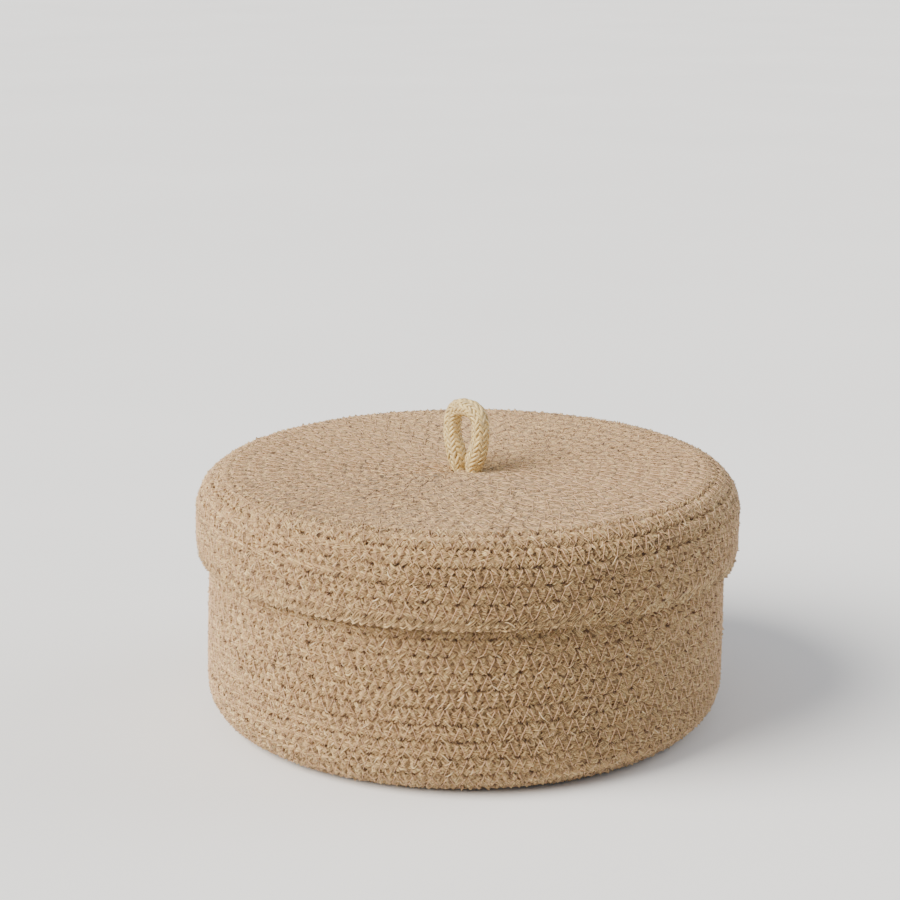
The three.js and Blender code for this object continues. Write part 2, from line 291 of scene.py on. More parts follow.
def piece(name, shape, material, body, nodes=(), lean=1.0):
    """A smooth mesh object from a shape, riding on a body and standing for CAD nodes."""
    loops = np.concatenate([shape["quads"].ravel(), shape["caps"].ravel()]).astype(np.int32)
    sizes = np.concatenate([np.full(len(shape["quads"]), 4), np.full(len(shape["caps"]), 3)])
    starts = np.concatenate([[0], np.cumsum(sizes)[:-1]]).astype(np.int32)
    mesh = bpy.data.meshes.new(name)
    mesh.vertices.add(len(shape["points"]))
    mesh.vertices.foreach_set("co", leaning(shape["points"], lean).astype(np.float32).ravel())
    mesh.loops.add(len(loops))
    mesh.loops.foreach_set("vertex_index", loops)
    mesh.polygons.add(len(sizes))
    mesh.polygons.foreach_set("loop_start", starts)
    uv = np.concatenate([shape["uv"], shape["cap_uv"]])
    for layer, places in (("Fibre", uv), ("OFBake", texture_map(shape))):
        mesh.uv_layers.new(name=layer).data.foreach_set("uv", places.astype(np.float32).ravel())
    for key, kind, field in ATTRIBUTES:
        if key in shape:
            values = mesh.attributes.new(key, kind, "POINT")
            values.data.foreach_set(field, shape[key].astype(np.float32).ravel())
    mesh.update(calc_edges=True)
    mesh.polygons.foreach_set("use_smooth", np.ones(len(sizes), bool))
    mesh.materials.append(material)
    made = bpy.data.objects.new(name, mesh)
    bpy.context.scene.collection.objects.link(made)
    if body:
        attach(made, body)
    if nodes:
        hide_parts(*nodes)
    return made


def unit(vectors):
    """The vectors at length one."""
    return vectors / np.linalg.norm(vectors, axis=-1, keepdims=True)


def side_and_up(forward, out):
    """The two directions across a line that runs forward over a face whose outside is out."""
    side = unit(np.cross(forward, out))
    return side, np.cross(side, forward)


def rings(middle, side, up, sideways, upwards):
    """Rings of corners round the points of a line, at distances sideways and upwards."""
    across = sideways[..., None] * side[..., None, :]
    return middle[..., None, :] + across + upwards[..., None] * up[..., None, :]


def corners_of(sides, turned=0.0):
    """Cosines and sines of a regular polygon's corners, turned by a share of a side."""
    angle = 2 * math.pi * (np.arange(sides) + turned) / sides
    return np.cos(angle), np.sin(angle)


def above_floor(points):
    """The points, with what is under the floor brought up to it."""
    return np.maximum(points, [-math.inf, -math.inf, 0])


def slow_noise(places, every, amount):
    """Random values at places: normally spread at even knots, one in each length every, and
    straight between them."""
    low, high = places.min(), places.max()
    knots = np.arange(low, high + 2 * every, every)
    return np.interp(places, knots, rng.normal(0, amount, len(knots)))


# The plait's route


def line(start, end, count=40):
    """Points on a straight line."""
    share = np.linspace(0, 1, count)[:, None]
    return np.array(start) * (1 - share) + np.array(end) * share


def arc(centre, radius, start, end, count=40):
    """Points on part of a circle, between two angles in degrees."""
    a = np.radians(np.linspace(start, end, count))
    return np.array(centre) + radius * np.stack([np.cos(a), np.sin(a)], -1)


def bezier(points, count=80):
    """A Bezier curve with these control points, by repeated shares between neighbours."""
    share = np.linspace(0, 1, count)[:, None]
    points = [np.array(p, float) for p in points]
    while len(points) > 1:
        points = [a * (1 - share) + b * share for a, b in zip(points[:-1], points[1:])]
    return points[0]


def basket_profile():
    """The middle of the plait's thickness, as (radius, height), from the base's centre."""
    half = THICKNESS / 2
    flat, wall = WALL_RADIUS - CORNER, WALL_RADIUS - half
    base = line((0, half), (flat, half))
    corner = arc((flat, CORNER), CORNER - half, -90, 0)
    side = bezier([(wall, CORNER), (wall, BELLY_HEIGHT), (wall - RIM_DRAW_IN, RIM_HEIGHT)])
    return np.concatenate([base, corner[1:], side[1:]])


def lid_profile():
    """The same for the lid, from the middle of its top."""
    half = THICKNESS / 2
    flat, skirt = LID_RADIUS - SHOULDER, LID_RADIUS - half
    crown, hem = LID_TOP - half, LID_TOP - LID_DEPTH
    sunk, bent = crown - DISH, hem + HEM_TURN_HEIGHT
    low, high = DISH_REACH
    top = bezier([(0, sunk), (low * flat, sunk), (high * flat, crown), (flat, crown)])
    shoulder = arc((flat, LID_TOP - SHOULDER), SHOULDER - half, 90, 0)
    side = line((skirt, LID_TOP - SHOULDER), (skirt, bent))
    turn = bezier([(skirt, bent), (skirt, hem + HEM_TURN_HEIGHT / 2), (skirt - HEM_TURN_IN, hem)])
    return np.concatenate([top, shoulder[1:], side[1:], turn[1:]])


class Winding:
    """A plait wound over a profile in a spiral that climbs one course a turn.

    A place on it is its length along the plait, its distance across from the middle of the
    course towards the free edge, and its lift from the middle of the thickness outwards.
    outward is 1 where the profile's outside is on its right, and -1 where it is on its left.
    The plait lies pressed flat as far as pressed_to along the profile."""

    def __init__(self, profile, outward, pressed_to):
        self.outward, self.pressed_to = outward, pressed_to
        steps = np.linalg.norm(np.diff(profile, axis=0), axis=1)
        self.profile = profile
        self.distance = np.concatenate([[0], np.cumsum(steps)])
        tangent = unit(np.gradient(profile, self.distance, axis=0))
        self.normal = outward * np.stack([tangent[:, 1], -tangent[:, 0]], -1)
        facets = round(self.distance[-1] / COURSE * STEPS_PER_TURN)
        self.turns = facets / STEPS_PER_TURN - 1
        self.width = self.distance[-1] / (self.turns + 1)
        taper_facets = round(TAPER * STEPS_PER_TURN / (2 * math.pi * profile[-1, 0]))
        self.taper_turns = taper_facets / STEPS_PER_TURN
        self.turn = np.linspace(0, self.turns, SPIRAL_POINTS)
        radius = self.on_profile(self.middle(self.turn))[0][:, 0]
        step = 2 * math.pi * (radius[1:] + radius[:-1]) / 2 * np.diff(self.turn)
        self.length = np.concatenate([[0], np.cumsum(step)])
        self.last = np.interp(self.turns - 1, self.turn, self.length)  # its last turn's start

    def pressed(self, length):
        """1 where the plait lies pressed flat and 0 elsewhere."""
        turn = np.interp(length, self.length, self.turn)
        inside = (self.pressed_to - self.middle(turn)) / self.width + PRESSED_REACH
        return np.clip(inside, 0, 1)

    def half_width(self, turn):
        """Half a course's width, which falls off as a square in the taper."""
        taper = np.clip((turn - self.turns) / self.taper_turns + 1, 0, None)
        return (self.width - taper**2 * (self.width - END_WIDTH)) / 2

    def middle(self, turn):
        """The distance along the profile of the middle of the course."""
        return self.width * turn + self.half_width(turn)

    def on_profile(self, distance):
        """The points (radius, height) at distances along the profile, and its normals."""
        radius = np.interp(distance, self.distance, self.profile[:, 0])
        height = np.interp(distance, self.distance, self.profile[:, 1])
        out = np.interp(distance, self.distance, self.normal[:, 0])
        up = np.interp(distance, self.distance, self.normal[:, 1])
        return np.stack([radius, height], -1), np.stack([out, up], -1)

    def stitch_phases(self, length):
        """Stitches counted along the plait, whole at each needle hole, for the row of holes
        where the course's own stitches start and the row where the last turn's end. It is one
        half, which is clear of the holes, where nothing is sewn."""
        turn = np.interp(length, self.length, self.turn)
        earlier = np.interp(turn - 1, self.turn, self.length)
        rest = (1 - LEG) * STITCH / 4
        phases = []
        for place, offset in ((length, -rest), (earlier, STITCH / 2 - rest)):
            sewn = (place > FIRST_STITCH - STITCH / 2) & (place < self.last)
            phases.append(np.where(sewn, (place - FIRST_STITCH - offset) / STITCH, 0.5))
        return phases

    def last_course(self, length):
        """1 on the last course, whose edge is free, and 0 before it."""
        return np.clip((length - self.last) / WAVE + 0.5, 0, 1)

    def hole_push(self, length, across):
        """How far a strand is pushed across by the needle's holes: away from each, falling off
        as exp(-distance squared), and changing sides smoothly over its middle."""
        push = np.zeros_like(length)
        for side, phase in zip((1, -1), self.stitch_phases(length)):
            along = ((phase + 0.5) % 1 - 0.5) * STITCH
            off = across - side * HOLE_ROW
            near = np.exp(-(along**2 + off**2) / HOLE_REACH**2)
            push += HOLE_PUSH * near * off / np.hypot(off, HOLE_MIDDLE)
        return push

    def place(self, length, across, lift):
        """The point in space of a place on the plait, none under the floor."""
        turn = np.interp(length, self.length, self.turn)
        narrow = self.half_width(turn) / (self.width / 2)
        at, normal = self.on_profile(self.middle(turn) + across * narrow)
        radius = at[..., 0] + normal[..., 0] * lift
        height = at[..., 1] + normal[..., 1] * lift
        angle = END_ANGLE + 2 * math.pi * (turn - self.turns)
        return above_floor(np.stack([radius * np.cos(angle), radius * np.sin(angle), height], -1))

    def outwards(self, length, across):
        """The direction out of the plait's face, with a trifle added so that it is never 0."""
        outer, inner = self.place(length, across, 1 * MM), self.place(length, across, 0 * MM)
        return unit(outer - inner + 1e-12)


# Jute


def strand_path(winding, length, phase):
    """The way of a strand through the plait.

    It crosses as an arcsine of k sin(phase), close to a zigzag with round turns, and weaves
    as sin(4 phase). At the free edge it turns as sin(phase) + h sin(3 phase) and weaves
    partly as -sin(2 phase), in longer arcs that start at the edge."""
    pressed = winding.pressed(length)
    swing = (winding.width - STRAND_WIDTH) / 2 + EDGE_OVERLAP
    rise = RELIEF * (THICKNESS - STRAND_THICKNESS) / 2
    zigzag = np.arcsin(TURN_SHARPNESS * np.sin(phase)) / math.asin(TURN_SHARPNESS)
    arcs = (np.sin(phase) + FREE_BULGE * np.sin(3 * phase)) / (1 - FREE_BULGE)
    free = winding.last_course(length) * np.clip(2 * np.sin(phase), 0, 1)
    across = swing * (zigzag + free * (arcs - zigzag)) - FREE_DRAWN_IN * EDGE_OVERLAP * free
    across = across + slow_noise(length, *STRAND_SWAY) * (1 - FREE_CALM * free)
    across = across + winding.hole_push(length, across)
    weave = np.sin(4 * phase) - FREE_WEAVE * free * (np.sin(4 * phase) + np.sin(2 * phase))
    lift = rise * weave + slow_noise(length, *STRAND_LIFT)
    beside_seam = np.clip(2 * np.abs(np.sin(phase)) - 1, 0, 1)
    lift = lift + SEWN_UP * (1 - free) * beside_seam
    lift = lift * (1 - (1 - PRESSED) * pressed) + pressed * (1 - PRESSED) * rise
    middle = winding.place(length, across, lift)
    forward = unit(np.gradient(middle, length, axis=0))
    side, up = side_and_up(forward, winding.outwards(length, across))
    return SimpleNamespace(
        length=length,
        across=across,
        pressed=pressed,
        free=free,
        middle=middle,
        side=side,
        up=up,
        heading=np.gradient(across, length),
        tone=slow_noise(length, *STRAND_TONE),
    )


def yarn(winding, strand, offset):
    """One yarn, at an offset from its strand's middle: its rings of corners, their shade,
    and where they are among the needle holes. It wanders a little, and spreads where the
    plait is pressed."""
    pressed, length = strand.pressed, strand.length
    apart = offset * (1 + PRESSED_SPREAD * pressed) + slow_noise(length, *YARN_SWAY)
    raised = slow_noise(length, *YARN_LIFT) * (1 - PRESSED_CALM * pressed)
    raised = raised + FREE_SLANT * offset * strand.free
    size = 1 + slow_noise(length, *YARN_SIZE)
    section = np.array(YARN_SECTION)[None] * size[:, None, None]
    sideways = apart[:, None] + section[..., 0]
    upwards = raised[:, None] + section[..., 1]
    ring = above_floor(rings(strand.middle, strand.side, strand.up, sideways, upwards))
    heading = strand.heading[:, None]  # its slant, which turns sideways into along and across
    turned = winding.outward * sideways / np.hypot(heading, 1)
    phases = winding.stitch_phases(length[:, None] + turned * heading)
    stitch = np.stack([*phases, (strand.across[:, None] - turned) / MM], -1)
    own = 0.5 + strand.tone + slow_noise(length, *YARN_TONE)
    return ring, np.repeat(own[:, None], len(YARN_SECTION), axis=1), stitch


def plait_yarns(winding):
    """The yarns of a flat plait's five strands, from end to end. Each strand is its lengths
    along the plait, the distances along its yarns, their rings, and their attributes. Its
    phase goes through one turn in each WAVE."""
    total = winding.length[-1]
    halves = np.arange(2 * math.ceil(total / WAVE + 1))[:, None]
    phases = np.radians((180 * halves + np.array(RING_PHASES)).ravel())
    strands = []
    for k in range(STRANDS):
        length = WAVE * (phases / (2 * math.pi) - k / STRANDS)
        inside = (length > FIRST_RING) & (length < total)
        strand = strand_path(winding, length[inside], phases[inside])
        ring, shade, stitch = map(np.stack, zip(*(yarn(winding, strand, y) for y in YARNS)))
        shift = (np.arange(len(YARNS))[:, None] + len(YARNS) * k) * YARN_SHIFT
        flat = np.broadcast_to(strand.pressed[None, :, None], shade.shape)
        values = {"shade": shade, "flat": flat, "stitch": stitch}
        strands.append((strand.length, strand.length + shift, ring, values))
    return strands


def cut(strands, start, stop):
    """The yarns between two lengths along the plait, as one shape."""
    shapes = []
    for length, along, ring, values in strands:
        kept = slice(np.searchsorted(length, start), np.searchsorted(length, stop) + 1)
        shape = grid_tubes(ring[:, kept], along[:, kept])
        for key, value in values.items():
            shape[key] = value[:, kept].reshape(-1, *value.shape[3:])
        shapes.append(shape)
    return joined(shapes)


def plait_core(winding):
    """A flat band inside the plait, thicker along the seams, that shows between strands.
    Its shade goes from 0 in the middle of the course to 1 at the seams: painted shade, darkest in
    the middle, deep between the strands, and paler along the seams."""
    length = np.arange(0, winding.length[-1], CORE_STEP)
    edge, inner = winding.width / 2 + CORE_LAP, winding.width / 4
    half = [(-edge, -CORE_SEAM), (-inner, -CORE_MIDDLE), (inner, -CORE_MIDDLE), (edge, -CORE_SEAM)]
    section = half + [(across, -lift) for across, lift in half[::-1]]
    drawn_in = np.clip((length - winding.last) / CORE_DRAWN_OVER, 0, 1) * CORE_DRAWN_IN
    corners = [winding.place(length, a - (a == edge) * drawn_in, lift) for a, lift in section]
    shape = grid_tubes(np.stack(corners, 1)[None], length[None])
    # Painted shade: 0 darkens the core's middle, deep between the strands
    shade = [float(abs(across) > inner) for across, lift in section]
    return {**shape, "shade": np.broadcast_to(shade, (len(length), len(section)))}


def zigzag_stitches(winding, face):
    """The sewing thread on one face: straight legs over each seam, from the middle of one
    course to the middle of the next, that dip into the plait at both ends."""
    starts = np.arange(FIRST_STITCH, winding.last, STITCH / 2)
    starts = starts + rng.normal(0, STITCH_SCATTER, len(starts))
    upward = (np.arange(len(starts)) % 2 == 0)[:, None]
    share, height = np.array(LEG_SHARES), np.array(LEG_HEIGHTS)
    length = starts[:, None] + LEG * STITCH / 2 * share
    reach = winding.width - 2 * HOLE_ROW
    scatter = rng.normal(0, STITCH_SCATTER, len(starts))[:, None]
    low = winding.width / 2 - reach / 2 + scatter
    across = low + reach * np.where(upward, share, 1 - share)
    sunk = np.where((winding.outward < 0) & upward, TIGHT_LEG, 0)
    middle = winding.place(length, across, face * (height - sunk))
    forward = unit(np.gradient(middle, axis=1))
    side, up = side_and_up(forward, face * winding.outwards(length, across))
    cosine, sine = corners_of(3, 0.75)
    ring = rings(middle, side, up, THREAD / 2 * cosine, THREAD / 2 * sine)
    return grid_tubes(above_floor(ring), length)


def loose_fibres(winding, count):
    """Ribbons of bast that have worked out of the strands: short bent lines over the face,
    slanting as the strands do, which rise as a low arch 4 s (1 - s), with s the share of the
    way, and sink in again at both ends."""
    share = np.linspace(0, 1, 5)
    total = winding.length[-1]
    start = rng.uniform(FIBRE_END_ROOM, total - FIBRE_END_ROOM, count)[:, None]
    centre = rng.uniform(-FIBRE_EDGE, FIBRE_EDGE, count)[:, None]
    heading = np.radians(rng.uniform(*FIBRE_SLANT, count) * rng.choice([-1, 1], count))[:, None]
    span = rng.uniform(*FIBRE_LENGTH, count)[:, None]
    bend = rng.normal(0, FIBRE_BEND, count)[:, None]
    arch = 4 * share * (1 - share)
    length = start + span * np.cos(heading) * (share - 0.5)
    across = centre + span * np.sin(heading) * (share - 0.5) + bend * arch
    room = winding.width / 2 - FIBRE_FREE_ROOM
    across = np.where(winding.last_course(length) > 0, np.minimum(across, room), across)
    proud = np.abs(rng.normal(0, FIBRE_PROUD, count))[:, None]
    height = (FIBRE_ARCH + proud) * arch * (1 - FIBRE_PRESSED * winding.pressed(length))
    middle = winding.place(length, across, THICKNESS / 2 - FIBRE_SUNK + height)
    forward = unit(np.gradient(middle, axis=1))
    side, up = side_and_up(forward, winding.outwards(length, across))
    breadth = rng.uniform(*FIBRE_BREADTH, count)[:, None, None] * [1, 0, -1]
    ring = rings(middle, side, up, breadth, np.array([0, FIBRE_THICKNESS, 0]))
    shape = grid_tubes(above_floor(ring), length)
    return {**shape, "shade": np.repeat(rng.uniform(0, 1, count), ring[0].size // 3)}


# Cotton cord


def cord_frames(middle, across):
    """Side and up along a centreline, with side kept near a given direction."""
    forward = unit(np.gradient(middle, axis=0))
    up = unit(np.cross(np.broadcast_to(across, forward.shape), forward))
    return np.cross(forward, up), up


def evenly(points, step):
    """Points at even steps along a polyline, and their distances along it."""
    steps = np.linalg.norm(np.diff(points, axis=0), axis=1)
    distance = np.concatenate([[0], np.cumsum(steps)])
    places = np.linspace(0, distance[-1], max(int(distance[-1] / step), 2))
    return np.stack([np.interp(places, distance, points[:, k]) for k in range(3)], -1), places


def braided_cord(route, across, swell):
    """A round braid over a centreline: half of the n strands wind each way, over two and
    under two, at a radius of R plus h cos(n/4 turn), with the phase that this needs."""
    middle, along = evenly(route, BRAID_STEP)
    side, up = cord_frames(middle, across)
    grown = swell(middle)[:, None]
    reach = CORD / 2 - CARRIER_THICKNESS / 2 - BRAID_INSET
    turn = 2 * math.pi * along / BRAID_PITCH
    half = CARRIERS // 2
    cosine, sine = corners_of(CARRIER_SIDES, 0.25)
    points, shades = [], []
    for way in (1, -1):
        for k in range(half):
            angle = way * turn + 2 * math.pi * k / half
            weave = way * np.cos(half / 2 * turn + way * math.pi * k - way * math.pi / 4)
            radius = reach + BRAID_RELIEF * weave + slow_noise(along, *CARRIER_LIFT)
            angle = angle + slow_noise(along, *CARRIER_SWAY)
            out = np.cos(angle)[:, None] * side + np.sin(angle)[:, None] * up
            centre = middle + grown * radius[:, None] * out
            flat, rise = side_and_up(unit(np.gradient(centre, axis=0)), out)
            sideways, upwards = CARRIER_WIDTH / 2 * grown * cosine, CARRIER_THICKNESS / 2 * sine
            points.append(rings(centre, flat, rise, sideways, upwards))
            own = 0.5 + slow_noise(along, *CARRIER_TONE)
            shades.append(np.repeat(own[:, None], CARRIER_SIDES, axis=1))
    grain = along[None] + np.arange(CARRIERS)[:, None] * CARRIER_SHIFT
    braid = {**grid_tubes(np.stack(points), grain), "shade": np.stack(shades).ravel()}
    cosine, sine = (reach - BRAID_CORE_SUNK) * np.stack(corners_of(BRAID_CORE_SIDES))
    core = grid_tubes(rings(middle, side, up, cosine, sine)[None], along[None])
    # The core shows only in the gaps between strands: its shade of 0 is painted shade, a darker
    # cream there
    return joined([braid, {**core, "shade": np.zeros(len(core["points"]))}])


def loop_route():
    """Up one leg, over the round top and down the other, from below the lid's surface."""
    root, wide = ROOT_SPACING / 2, LOOP_WIDTH / 2
    rise = LOOP_HEIGHT - AXIS_HEIGHT - CORD / 2
    waist = rise * WIDEST_SHARE
    pull = TOP_ROUNDNESS * (rise - waist)
    leg = bezier([(root, 0), (root, LEG_LOW * waist), (wide, LEG_HIGH * waist), (wide, waist)])
    top = bezier([(wide, waist), (wide, waist + pull), (TOP_ROUNDNESS * wide, rise), (0, rise)])
    half = np.concatenate([leg, top[1:]])
    whole = np.concatenate([half, (half * [-1, 1])[::-1][1:]])
    below = KNOT_TOP - CORD * (WRAPS + 1) - TAIL - LOOP_AXIS
    start = line((root, below), (root, 0), 30)[:-1]
    flat = np.concatenate([start, whole, (start * [-1, 1])[::-1]])
    return np.stack([flat[:, 0], 0 * flat[:, 0], LOOP_AXIS + flat[:, 1]], -1)


def root_swell(points):
    """The cord's girth against its own: it is drawn in at the lid's surface and bunches a
    little above it, each as exp(-height squared)."""
    above = (points[:, 2] - LID_MIDDLE) / BUNCH_HEIGHT
    bunch = BUNCH[0] * np.exp(-((above - 1) ** 2) / BUNCH[1])
    return 1 + bunch - NECK[0] * np.exp(-(above**2) / NECK[1])


def no_swell(points):
    """The cord's own girth all along."""
    return np.ones(len(points))


def wrap_route():
    """Turns of the cord round its own two ends, under the lid."""
    share = np.linspace(0, 1, 200)
    a = 2 * math.pi * WRAPS * share
    around = CORD - WRAP_BITE
    x = (ROOT_SPACING / 2 - ENDS_SQUEEZE + around) * np.cos(a)
    return np.stack([x, around * np.sin(a), KNOT_TOP - CORD / 2 - CORD * WRAPS * share], -1)


# Materials. Real fibres are finer than a pixel, so a streak stands for a bundle of them.


def linear(code):
    """An sRGB hex colour as linear red, green, blue and alpha."""
    parts = [int(code[i : i + 2], 16) / 255 for i in (1, 3, 5)]
    return [p / 12.92 if p <= 0.04045 else ((p + 0.055) / 1.055) ** 2.4 for p in parts] + [1.0]


def set_stops(elements, stops):
    """Gives a colour ramp its stops, each a place and an sRGB colour."""
    while len(elements) < len(stops):
        elements.new(0.5)
    for element, (place, colour) in zip(elements, stops):
        element.position, element.color = place, linear(colour)


def node(tree, kind, **given):
    """A node with its settings, its inputs and its links. Names in lower case are settings.
    The others are inputs: an input's name with _ for each space, or _ and its number. What
    goes in is a value, a socket, or a node, which stands for its first output."""
    made = tree.nodes.new("ShaderNode" + kind)
    for key, value in given.items():
        if key == "stops":
            set_stops(made.color_ramp.elements, value)
        elif key[0].islower():
            setattr(made, key, value)
        else:
            socket = made.inputs[int(key[1:]) if key[0] == "_" else key.replace("_", " ")]
            if isinstance(value, bpy.types.Node):
                value = value.outputs[0]
            if isinstance(value, bpy.types.NodeSocket):
                tree.links.new(value, socket)
            else:
                socket.default_value = value
    return made


def new_material(name):
    """An empty material and its node tree."""
    material = bpy.data.materials.new(name)
    material.use_nodes = True
    material.node_tree.nodes.clear()
    return material, material.node_tree


def streaks(tree, along_mm, round_count, detail=3.0):
    """Noise drawn out along the fibres: one grain in along_mm, and a count round the strand."""
    scale = (1 / (along_mm * MM), round_count, 1)
    fibre = node(tree, "UVMap", uv_map="Fibre")
    drawn = node(tree, "VectorMath", operation="MULTIPLY", _0=fibre, _1=scale)
    noise = node(tree, "TexNoise", noise_dimensions="2D", Vector=drawn, Scale=1.0, Detail=detail)
    return noise.outputs["Fac"]


def lobes(tree, count, wander_mm):
    """Bundles of fibre side by side round a yarn: 0 in the grooves between them and 1 on each
    one's crest, as |sin(count pi v)|, with v the share of the way round and a little wander."""
    split = node(tree, "SeparateXYZ", Vector=node(tree, "UVMap", uv_map="Fibre"))
    round_share, wander = split.outputs["Y"], streaks(tree, wander_mm, 1, 1.0)
    shifted = node(tree, "Math", operation="MULTIPLY_ADD", _0=wander, _1=0.25, _2=round_share)
    turned = node(tree, "Math", operation="MULTIPLY", _0=shifted, _1=math.pi * count)
    wave = node(tree, "Math", operation="SINE", _0=turned)
    return node(tree, "Math", operation="ABSOLUTE", _0=wave)


def weighed(tree, *terms):
    """The sum of values, each less its mean and times its weight, about one half."""
    total = 0.5
    for value, mean, weight in terms:
        less = -mean * weight
        scaled = node(tree, "Math", operation="MULTIPLY_ADD", _0=value, _1=weight, _2=less)
        total = node(tree, "Math", operation="ADD", _0=scaled, _1=total)
    return total


def holes(tree, flat):
    """1 on whole plait and 0 in the needle holes, which lie in two rows along each course and
    are longer that way than across, or round where the plait is pressed flat. Fibres cover
    their edges, and close some of them."""
    ragged = streaks(tree, 1.0, 4, 2.0)
    slim = node(tree, "Math", operation="MULTIPLY_ADD", _0=flat, _1=HOLE_SLIMNESS - 1, _2=1.0)
    stitch = node(tree, "Attribute", attribute_name="stitch").outputs["Vector"]
    places = node(tree, "SeparateXYZ", Vector=stitch)
    whole = 1.0
    for axis, row in (("X", HOLE_ROW), ("Y", -HOLE_ROW)):
        phase = places.outputs[axis]
        nearest = node(tree, "Math", operation="WRAP", _0=phase, _1=0.5, _2=-0.5)
        length = HOLE_SLIMNESS * STITCH / MM
        along = node(tree, "Math", operation="MULTIPLY", _0=nearest, _1=length)
        beside = node(tree, "Math", operation="SUBTRACT", _0=places.outputs["Z"], _1=row / MM)
        off = node(tree, "Math", operation="MULTIPLY", _0=beside, _1=slim)
        place = node(tree, "CombineXYZ", X=along, Y=off)
        reach = node(tree, "VectorMath", operation="LENGTH", _0=place).outputs["Value"]
        number = node(tree, "Math", operation="ROUND", _0=phase)
        own = node(tree, "TexWhiteNoise", noise_dimensions="1D", W=number)
        shrunk = weighed(tree, (own, 0.5, 0.9), (ragged, 0.5, 2.2))
        edge = node(
            tree,
            "MapRange",
            interpolation_type="SMOOTHSTEP",
            Value=node(tree, "Math", operation="ADD", _0=reach, _1=shrunk),
            From_Min=0.62,  # millimetres from a hole's middle, to where the plait is whole
            From_Max=1.05,
        )
        whole = node(tree, "Math", operation="MULTIPLY", _0=edge, _1=whole)
    return whole


def jute():
    """Raw jute, retted and loosely spun: dull, with pale shiny ribbons of bast fibre, and painted
    shade in its needle holes. Where it is pressed flat, its colour is more even and the painted
    shade in its needle holes is lighter."""
    material, tree = new_material("raw_jute")
    fine, broad = streaks(tree, 3.0, 8), streaks(tree, 9, 2, 2.0)
    bundles = lobes(tree, 7, 5)
    shade = node(tree, "Attribute", attribute_name="shade").outputs["Fac"]
    flat = node(tree, "Attribute", attribute_name="flat").outputs["Fac"]
    grain = (fine, 0.5, 1.7), (broad, 0.5, 0.2), (bundles, 0.64, 0.6)
    value = weighed(tree, *grain, (shade, 0.5, 0.5))
    even = node(tree, "Math", operation="MULTIPLY", _0=flat, _1=0.57)
    value = node(tree, "Mix", Factor=even, A=value, B=0.54)  # B is the even tone
    browns = [(0.0, "#70563f"), (0.3, "#ac8a63"), (0.52, "#cea87a")]
    browns += [(0.78, "#e5c188"), (1.0, "#f3d89f")]
    colour = node(tree, "ValToRGB", stops=browns, Fac=value)
    whole = holes(tree, flat)
    least = node(tree, "Math", operation="MULTIPLY", _0=flat, _1=0.1)  # in a pressed hole
    shown = node(tree, "Math", operation="MAXIMUM", _0=whole, _1=least)
    # Painted shade in the needle holes: this dark brown where the plait is open
    dark = linear("#6a4c30")
    hole_shaded = node(tree, "Mix", data_type="RGBA", Factor=shown, _6=dark, _7=colour)
    height = weighed(tree, (bundles, 0.64, 0.6), (fine, 0.5, 0.5), (whole, 1.0, 1.5))
    shader = node(
        tree,
        "BsdfPrincipled",
        Base_Color=hole_shaded.outputs[2],
        Roughness=node(tree, "MapRange", Value=value, To_Min=0.9, To_Max=0.5),
        Specular_IOR_Level=0.35,
        Sheen_Weight=0.1,
        Sheen_Roughness=0.5,
        Normal=node(tree, "Bump", Strength=0.85, Distance=0.3 * MM, Height=height),
    )
    node(tree, "OutputMaterial", Surface=shader)
    return material


def shadowed_jute():
    """Jute inside the plait, with painted shade: paler where fibre is drawn together along the
    seams, and a darker brown between them.
    """
    material, tree = new_material("shadowed_jute")
    shade = node(tree, "Attribute", attribute_name="shade").outputs["Fac"]
    value = weighed(tree, (streaks(tree, 4, 12), 0.5, 0.6), (shade, 0.5, 0.7))
    # Painted shade: dark browns for the plait's inside, seen between the strands
    browns = [(0.1, "#5c452f"), (0.5, "#8a6c4b"), (0.8, "#b49470")]
    colour = node(tree, "ValToRGB", stops=browns, Fac=value)
    shader = node(tree, "BsdfPrincipled", Base_Color=colour, Roughness=0.95)
    node(tree, "OutputMaterial", Surface=shader)
    return material


def bast_fibre():
    """Single ribbons of bast: paler than the yarns, with a silky shine."""
    material, tree = new_material("bast_fibre")
    shade = node(tree, "Attribute", attribute_name="shade").outputs["Fac"]
    value = weighed(tree, (streaks(tree, 1.5, 2), 0.5, 0.6), (shade, 0.5, 0.9))
    pales = [(0.05, "#9a7750"), (0.4, "#c5a174"), (0.75, "#dcbe91"), (1.0, "#efd8b0")]
    colour = node(tree, "ValToRGB", stops=pales, Fac=value)
    shader = node(tree, "BsdfPrincipled", Base_Color=colour, Roughness=0.5)
    node(tree, "OutputMaterial", Surface=shader)
    return material


def sewing_thread():
    """Spun polyester thread, a little pinker and smoother than the jute."""
    material, tree = new_material("sewing_thread")
    pinks = [(0.3, "#c49c7a"), (0.7, "#e5be9a")]
    colour = node(tree, "ValToRGB", stops=pinks, Fac=streaks(tree, 0.8, 2))
    shader = node(tree, "BsdfPrincipled", Base_Color=colour, Roughness=0.55)
    node(tree, "OutputMaterial", Surface=shader)
    return material


def cotton():
    """Unbleached cotton, mercerised a little: cream, with a soft shine along each yarn."""
    material, tree = new_material("unbleached_cotton")
    yarns = streaks(tree, 4, 7)
    shade = node(tree, "Attribute", attribute_name="shade").outputs["Fac"]
    value = weighed(tree, (yarns, 0.5, 1.0), (shade, 0.5, 0.5))
    creams = [(0.1, "#b59c69"), (0.35, "#cab07d"), (0.55, "#d4b777"), (0.85, "#e9cf8e")]
    shader = node(
        tree,
        "BsdfPrincipled",
        Base_Color=node(tree, "ValToRGB", stops=creams, Fac=value),
        Roughness=0.42,
        Sheen_Weight=0.08,
        Normal=node(tree, "Bump", Strength=0.45, Distance=0.2 * MM, Height=yarns),
    )
    node(tree, "OutputMaterial", Surface=shader)
    return material


